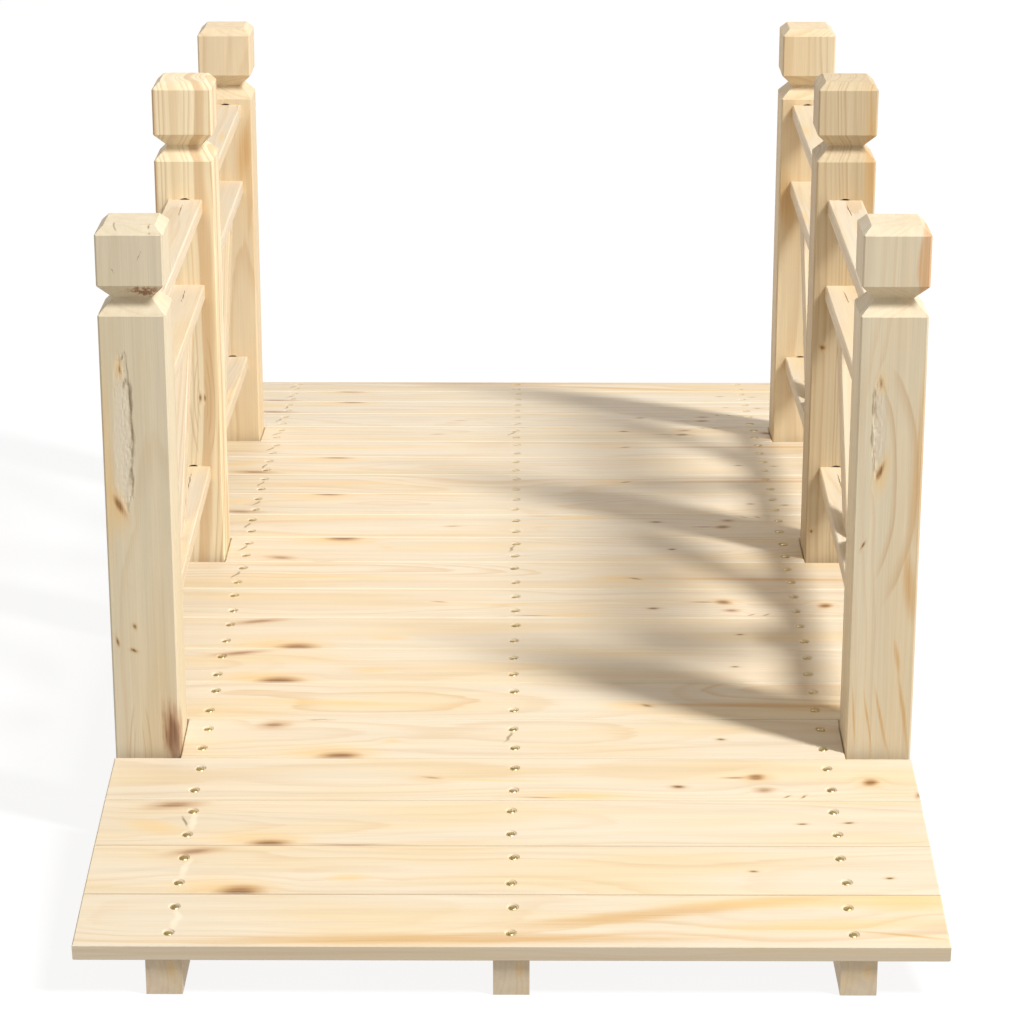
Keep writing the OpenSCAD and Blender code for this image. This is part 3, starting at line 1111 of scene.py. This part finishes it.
@dataclass
class Deck:
    """The deck: 21 planks, each nailed twice to each of the three stringers.

    Planks are counted from 0 at the front. The painted highlight on the arrises grows and the painted shade
    in the seams fades towards the back. A grain is the rings' width, how far the pith wanders, and how strong
    the bands are.
    """

    nails: Nails
    nail_rows_mm: tuple[float, ...] = (-262.0, 0.0, 262.0)
    nail_spread_mm: float = 18.0
    nail_stray_mm: float = 1.4
    nail_seed: int = 21
    dent: Mark = Mark(K.DENT, (-259, 0), (3, 15), -6)
    dented: tuple[int, ...] = (0, 1, 2)
    lone_slip: Mark = Mark(K.SLIP, (-266, 1), (1.3, 8), 14)
    lone_slipped: int = 2
    centre_slip: Mark = Mark(K.SLIP, (-4, 2), (1.5, 10), -20)
    centre_slipped: tuple[int, ...] = (4, 10, 16)
    slip: Mark = Mark(K.SLIP, (-265, 0), (1.4, 9))
    slip_stray_mm: float = 3.0
    slip_turn_deg: Pair = (-28.0, -12.0)
    first_slipped: int = 9
    # Painted shade in the seams starts from this share and loses the next value on each plank towards the
    # back.
    seam_painted_shade: float = 0.46
    seam_shade_loss: float = 0.06
    # The painted highlight on the arrises grows from the near share at the front to the far share at the
    # back.
    arris_highlight_near: float = 0.26
    arris_highlight_far: float = 0.85
    first_seed: int = 1
    grain_seed: int = 7
    waved_grain: Triple = (6.0, 34.0, 0.45)
    plain_grain: Triple = (4.2, 22.0, 0.3)
    pith_across_mm: Pair = (-18.0, 14.0)
    pith_below_mm: Pair = (-75.0, -38.0)
    most_lean: float = 0.03
    planks: tuple[Plank, ...] = (
        Plank(B.EDGE), Plank(B.SPIKED), Plank(B.STREAKED), Plank(B.CLUSTERED), Plank(B.BUTT), Plank(B.WAVED),
        Plank(B.SPIKED, 6), Plank(B.SPIKED, 16), Plank(B.CLUSTERED, -6), Plank(B.WAVED, -2),
        Plank(B.BUTT, -22, True), Plank(B.CLUSTERED, 4, True), Plank(B.STREAKED, 1, True),
        Plank(B.WAVED, 0, True), Plank(B.STREAKED, 0, True), Plank(B.WAVED, 3, True),
        Plank(B.CLUSTERED, -20, True), Plank(B.CLUSTERED, 3, True), Plank(B.STREAKED, 2, True),
        Plank(B.STREAKED, -1, True), Plank(B.EDGE, 0, True),
    )
    boards: list[tuple[Piece, Lie]] = field(default_factory=list)

    def build(self) -> None:
        """Makes the planks with their nail seats."""
        chance = random.Random(self.nail_seed)
        for i in range(len(self.planks)):
            piece = timber(f"deck_plank_{i + 1:02d}", f"plank_{i + 1:02d}")
            lie = Lie.of(piece, Vector((0, 0, 1)))
            cutter = Cutter()
            for row in self.nail_rows_mm:
                for side in (-1, 1):
                    along = row + chance.uniform(-1, 1) * self.nail_stray_mm
                    across = side * self.nail_spread_mm + chance.uniform(-1, 1) * self.nail_stray_mm
                    self.nails.seat(cutter, lie.point(along, across), lie.face)
            cutter.cut(piece)
            self.boards.append((piece, lie))

    def _knocks(self, i: int, chance: random.Random) -> tuple[Mark, ...]:
        """Lists the dents and slits that the nailing left on one plank.

        Args:
            i: The plank's number.
            chance: The deck's draws.

        Returns:
            The marks.
        """
        place = self.slip.at_mm[0], chance.uniform(-self.slip_stray_mm, self.slip_stray_mm)
        slip = replace(self.slip, at_mm=place, turn_deg=chance.uniform(*self.slip_turn_deg))
        struck = (
            (self.dent, i in self.dented), (self.lone_slip, i == self.lone_slipped),
            (slip, i >= self.first_slipped), (self.centre_slip, i in self.centre_slipped),
        )
        return tuple(mark for mark, there in struck if there)

    def dress(self) -> None:
        """Finishes the planks."""
        chance = random.Random(self.grain_seed)
        for i, (piece, lie) in enumerate(self.boards):
            plank = self.planks[i]
            waved = plank.cut in (B.WAVED, B.EDGE)
            ring_mm, wander_mm, bands = self.waved_grain if waved else self.plain_grain
            side = -1 if plank.flipped else 1
            far = i / (len(self.boards) - 1)
            knocks = self._knocks(i, chance)
            finish = Spruce(
                seed=self.first_seed + i, ring_mm=ring_mm, wander_mm=wander_mm, bands=bands,
                pith_mm=(side * chance.uniform(*self.pith_across_mm), chance.uniform(*self.pith_below_mm)),
                lean=(0.0, chance.uniform(-self.most_lean, self.most_lean)),
                # Painted highlight along the arrises, growing towards the back.
                arris_highlight_share=self.arris_highlight_near + (self.arris_highlight_far - self.arris_highlight_near) * far,
                # Painted shade in the seams, fading towards the back; the front plank has none.
                seam_shade_share=0.0 if i == 0 else max(0.0, self.seam_painted_shade - self.seam_shade_loss * i),
                marks=plank.marks(lie.half.x / MM) + knocks,
            )
            settle(piece, finish.material(piece.name, lie), f"deck_plank_{i + 1:02d}")


@dataclass
class Stringers:
    """The three sawn beams under the deck, each with pitch in its front end, a knot and a pin knot."""

    names: tuple[str, ...] = ("left_stringer", "centre_stringer", "right_stringer")
    wood: Spruce = Spruce(41, 5.0, (-26.0, -70.0), (0.0, 0.012), bands=0.3, end_share=0.2)
    fleck_up_mm: float = 21.0
    knots_at_mm: tuple[float, ...] = (210, 50, -110)
    pins_at_mm: tuple[float, ...] = (-320, -230, -140)

    def dress(self) -> None:
        """Finishes the beams."""
        for i, (name, knot_mm, pin_mm) in enumerate(zip(self.names, self.knots_at_mm, self.pins_at_mm)):
            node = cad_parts[name]
            lie = Lie.of(node, Vector((1, 0, 0)), Vector((0, 1, 0)))
            fleck_at = -lie.half.x / MM, -lie.half.y / MM + self.fleck_up_mm
            finish = replace(self.wood, seed=self.wood.seed + i, marks=(
                Mark(K.PITCH, fleck_at, (40, 7), 0, 6, 3), Mark(K.KNOT, (knot_mm, 14), (9, 7)),
                Mark(K.PIN, (pin_mm, 8), (5, 4)),
            ))
            coat(node, finish.material(name, lie))


@dataclass
class Posts:
    """The six capped posts: the front pair carries strips of torn grain on its front faces.

    A torn post has the border where its strip is deepest, and what sets the strip's raggedness.
    """

    torn_depth_mm: float = 0.9
    torn: dict[str, tuple[int, float]] = field(default_factory=lambda: {
        "left_front_post": (1, 3.0), "right_front_post": (-1, 7.0),
    })
    pieces: dict[str, Piece] = field(default_factory=dict)

    def build(self) -> None:
        """Tears the grain of the front pair."""
        for node, (deep_side, seed) in self.torn.items():
            piece = timber(node, node.replace("_post", "_upright"))
            lie = Lie.of(piece, Vector((0, 1, 0)))
            cutter = Cutter()
            for mark in POST_FINISHES[node].marks:
                if mark.kind is K.TORN:
                    cutter.torn(lie, mark, self.torn_depth_mm, deep_side, seed)
            cutter.cut(piece)
            self.pieces[node] = piece

    def dress(self) -> None:
        """Finishes all six posts."""
        for name, finish in POST_FINISHES.items():
            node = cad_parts[name]
            material = finish.material(name, Lie.of(node, Vector((0, 1, 0))))
            if name in self.pieces:
                settle(self.pieces[name], material, name)
            else:
                coat(node, material)


@dataclass
class Railings:
    """The rails between the posts, with a drying check near each middle post, and the V braces under them.

    A check runs slightly across its rail, by the two values of its skew.
    """

    nails: Nails
    foot_nail_mm: float = 22.0
    check_from_mm: float = 17.0
    check_length_mm: float = 46.0
    check_width_mm: float = 1.3
    check_depth_mm: float = 4.0
    check_skew_mm: Pair = (0.6, -0.4)
    sides: tuple[str, ...] = ("left", "right")
    bays: tuple[str, ...] = ("front", "back")
    levels: tuple[str, ...] = ("top", "middle", "lower")
    leans: tuple[str, ...] = ("inner", "outer")
    first_seed: int = 50
    grain_seed: int = 12
    ring_mm: Pair = (3.4, 5.0)
    pith_across_mm: Pair = (-14.0, 14.0)
    pith_below_mm: Pair = (-60.0, -25.0)
    most_lean: float = 0.03
    wander_mm: float = 14.0
    bands: Pair = (0.35, 0.5)
    marks_along_mm: Pair = (-120.0, 120.0)
    pin_across_mm: Pair = (-12.0, 12.0)
    pitch_across_mm: Pair = (-14.0, 14.0)
    rails: list[tuple[Piece, Lie, str]] = field(default_factory=list)
    slats: list[tuple[Piece, Lie, str]] = field(default_factory=list)

    def build(self) -> None:
        """Makes the rails with their checks, and the braces."""
        for side in self.sides:
            for bay in self.bays:
                for level in self.levels:
                    self._rail(f"{side}_{bay}_{level}_rail", 1 if bay == "front" else -1)
                for lean in self.leans:
                    self._brace(f"{side}_{bay}_{lean}_brace", 1 if side == "left" else -1)

    def _brace(self, node: str, inward: int) -> None:
        """Makes one brace, nailed at its foot through the face that looks onto the deck.

        Args:
            node: The CAD node.
            inward: The way to the deck along the X axis, 1 or -1.
        """
        piece = timber(node, node.replace("_brace", "_slat"))
        lie = Lie.of(piece, Vector((inward, 0, 0)))
        foot = -1 if lie.along.z > 0 else 1
        cutter = Cutter()
        self.nails.seat(cutter, lie.point(foot * (lie.half.x / MM - self.foot_nail_mm), 0.0), lie.face)
        cutter.cut(piece)
        self.slats.append((piece, lie, node))

    def _rail(self, node: str, way: int) -> None:
        """Makes one rail, with its check at the end that meets the middle post.

        Args:
            node: The CAD node.
            way: The way to the middle post along the rail, 1 or -1.
        """
        piece = timber(node, node.replace("_rail", "_bar"))
        lie = Lie.of(piece, Vector((0, 0, 1)))
        near = lie.half.x / MM - self.check_from_mm
        places = zip((near, near - self.check_length_mm), self.check_skew_mm)
        ends = [lie.point(way * along, across) for along, across in places]
        cutter = Cutter()
        cutter.check(*ends, lie.face, self.check_width_mm, self.check_depth_mm, len(self.rails))
        cutter.cut(piece)
        self.rails.append((piece, lie, node))

    def dress(self) -> None:
        """Finishes the rails and the braces."""
        chance = random.Random(self.grain_seed)
        slots = [Slot.RAILS] * len(self.rails) + [Slot.BRACES] * len(self.slats)
        for i, ((piece, lie, node), slot) in enumerate(zip(self.rails + self.slats, slots)):
            finish = Spruce(
                seed=self.first_seed + i, ring_mm=chance.uniform(*self.ring_mm),
                pith_mm=(chance.uniform(*self.pith_across_mm), chance.uniform(*self.pith_below_mm)),
                lean=(0.0, chance.uniform(-self.most_lean, self.most_lean)),
                wander_mm=self.wander_mm, bands=chance.uniform(*self.bands), marks=tuple(
                    Mark(kind, (chance.uniform(*self.marks_along_mm), chance.uniform(*across_mm)), half_mm)
                    for kind, across_mm, half_mm in (
                        (K.PIN, self.pin_across_mm, (4, 1.6)), (K.PITCH, self.pitch_across_mm, (26, 3)),
                    )
                ),
            )
            settle(piece, finish.material(node, lie), node)


@dataclass
class Studio:
    """A pale floor, softboxes at the right, the side and the back, a pale surround, and the photo's camera.

    Softboxes have a name, a place, a size and a power. The surround's two strengths are those at the
    horizon and overhead.
    """

    floor_half: float = 40.0
    floor_drop: float = 0.0003
    floor_tone: str = "626261"
    floor_roughness: float = 0.9
    floor_specular: float = 0.1
    floor_light: str = "FFFFFF"
    floor_glow: float = 0.88
    aim: Triple = (0.0, 0.0, 0.15)
    softboxes: tuple[tuple[str, Triple, Pair, float], ...] = (
        ("key_softbox", (3.6530976, -2.3724139, 5.6296468), (0.7, 2.5), 500.0),
        ("side_softbox", (3.4, -0.6, 1.0), (2.4, 2.4), 16.0),
        ("back_softbox", (0.0, 8.0, 2.7), (7.0, 1.8), 90.0),
    )
    sky: str = "FFFAF5"
    sky_strength: Pair = (0.71, 0.36)
    sky_rise: float = 0.7
    camera_at: Triple = (0.0107, -2.9782, 1.1569)
    camera_turn_deg: Triple = (71.09, 0.0, 0.26)
    lens_mm: float = 114.04
    sensor_mm: float = 36.0
    camera_clip: Pair = (0.05, 100.0)

    def build(self) -> None:
        """Makes the floor, the lights, the surround and the camera."""
        self._floor()
        for softbox in self.softboxes:
            self._softbox(*softbox)
        self._surround()
        data = bpy.data.cameras.new("camera")
        data.lens, data.sensor_width = self.lens_mm, self.sensor_mm
        data.clip_start, data.clip_end = self.camera_clip
        camera = link(bpy.data.objects.new("camera", data))
        camera.location = self.camera_at
        camera.rotation_euler = [math.radians(a) for a in self.camera_turn_deg]
        bpy.context.scene.camera = camera
        bpy.context.scene.view_settings.view_transform = "Standard"
        LOG.info("studio: floor, three softboxes, surround and camera")

    def _surround(self) -> None:
        """Lights the surround, brightest at the horizon, so upright faces get more of it than the deck."""
        world = bpy.data.worlds.new("pale_surround")
        world.use_nodes = True
        w = Wiring(world.node_tree)
        way = w.add(AXES, w.add("ShaderNodeTexCoord").outputs["Generated"])
        height = w.add(MATH, way.outputs["Z"], operation="ABSOLUTE")
        glow = w.add(RANGE, height, 0.0, self.sky_rise, *self.sky_strength, **SMOOTH)
        w.add("ShaderNodeOutputWorld", w.add("ShaderNodeBackground", linear(self.sky), glow))
        bpy.context.scene.world = world

    def _softbox(self, name: str, at: Triple, size: Pair, watts: float) -> None:
        """Hangs a softbox and turns it to the bridge.

        Args:
            name: Its name.
            at: Its place.
            size: Its width and height.
            watts: Its power.
        """
        data = bpy.data.lights.new(name, "AREA")
        data.shape, data.energy = "ELLIPSE", watts
        data.size, data.size_y = size
        lamp = link(bpy.data.objects.new(name, data))
        lamp.location = at
        lamp.visible_camera = False
        lamp.rotation_euler = (Vector(self.aim) - Vector(at)).to_track_quat("-Z", "Y").to_euler()

    def _floor(self) -> None:
        """Lays the pale floor, a hair below the bridge's feet."""
        shape = bmesh.new()
        bmesh.ops.create_grid(shape, x_segments=1, y_segments=1, size=self.floor_half)
        bmesh.ops.translate(shape, verts=shape.verts, vec=(0.0, 0.0, -self.floor_drop))
        mesh = bpy.data.meshes.new("floor")
        shape.to_mesh(mesh)
        shape.free()
        floor = link(bpy.data.objects.new("floor", mesh))
        material = bpy.data.materials.new("matt_white_paper")
        material.use_nodes = True
        w = Wiring(material.node_tree)
        shader = w.add("ShaderNodeBsdfPrincipled", named={
            "Base Color": linear(self.floor_tone), "Roughness": self.floor_roughness,
            "Specular IOR Level": self.floor_specular, "Emission Color": linear(self.floor_light),
            "Emission Strength": self.floor_glow,
        })
        w.add("ShaderNodeOutputMaterial", shader)
        mesh.materials.append(material)
        # The paper is left out of the diffuse bounce, so the bridge's sides keep their own shade.
        floor.visible_diffuse = False


def main() -> None:
    """Builds and dresses the bridge, part by part, and sets up the studio."""
    logging.basicConfig(level=logging.INFO, format="%(name)s %(message)s")
    Studio().build()
    nails = Nails()
    for part in (Deck(nails), Posts(), Railings(nails)):
        part.build()
        part.dress()
    nails.build()
    Stringers().dress()


if __name__ == "__main__":
    main()
